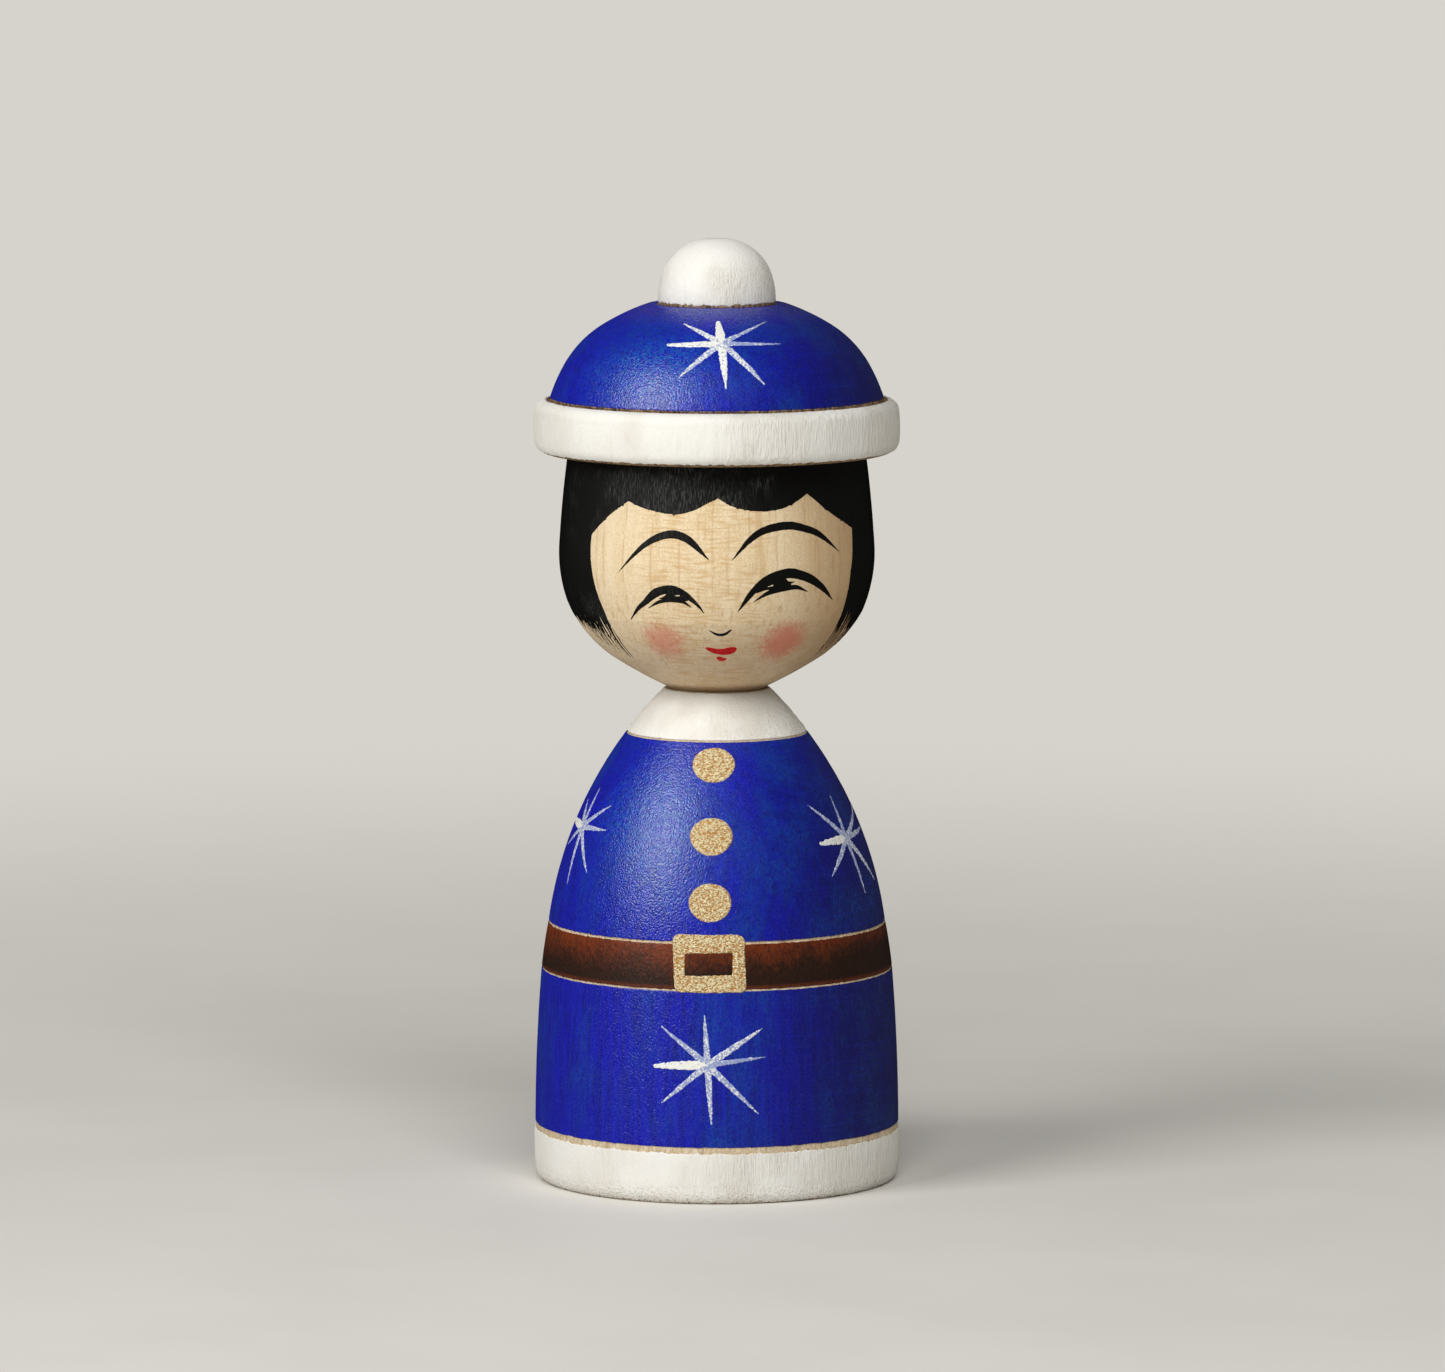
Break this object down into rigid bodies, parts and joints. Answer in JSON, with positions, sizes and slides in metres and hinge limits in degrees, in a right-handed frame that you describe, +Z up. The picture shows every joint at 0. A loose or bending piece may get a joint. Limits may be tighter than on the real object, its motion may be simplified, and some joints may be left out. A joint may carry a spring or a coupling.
{
  "type": "turned wooden doll",
  "caption": "Turned wooden doll in a belted winter coat: round torso on a flat base, turning head, lift-off domed hat with a pompom.",
  "frame": {"origin": "centre of the flat base, on the surface the doll stands on", "axes": "+Z up along the turning axis, -Y out of the face, +X to the viewer's right when facing the doll"},
  "size_m": [0.0466, 0.0466, 0.12],
  "materials": {
    "bare_wood": "satin",
    "blue_paint": "satin",
    "white_paint": "matte",
    "brown_paint": "satin",
    "gold_paint": "satin",
    "black_paint": "satin",
    "red_paint": "satin",
    "pink_paint": "matte"
  },
  "bodies": {
    "torso": {"torso": "blue_paint"},
    "head": {"head": "bare_wood"},
    "hat": {"hat": "blue_paint", "pompom": "white_paint"}
  },
  "joints": [
    {"name": "head_turn", "type": "hinge", "parent": "torso", "child": "head", "pos_m": [0, 0, 0.0629], "axis": [0, 0, 1], "continuous": true},
    {"name": "hat_lift", "type": "slide", "parent": "head", "child": "hat", "axis": [0, 0, 1], "range_m": [0, 0.03]}
  ]
}
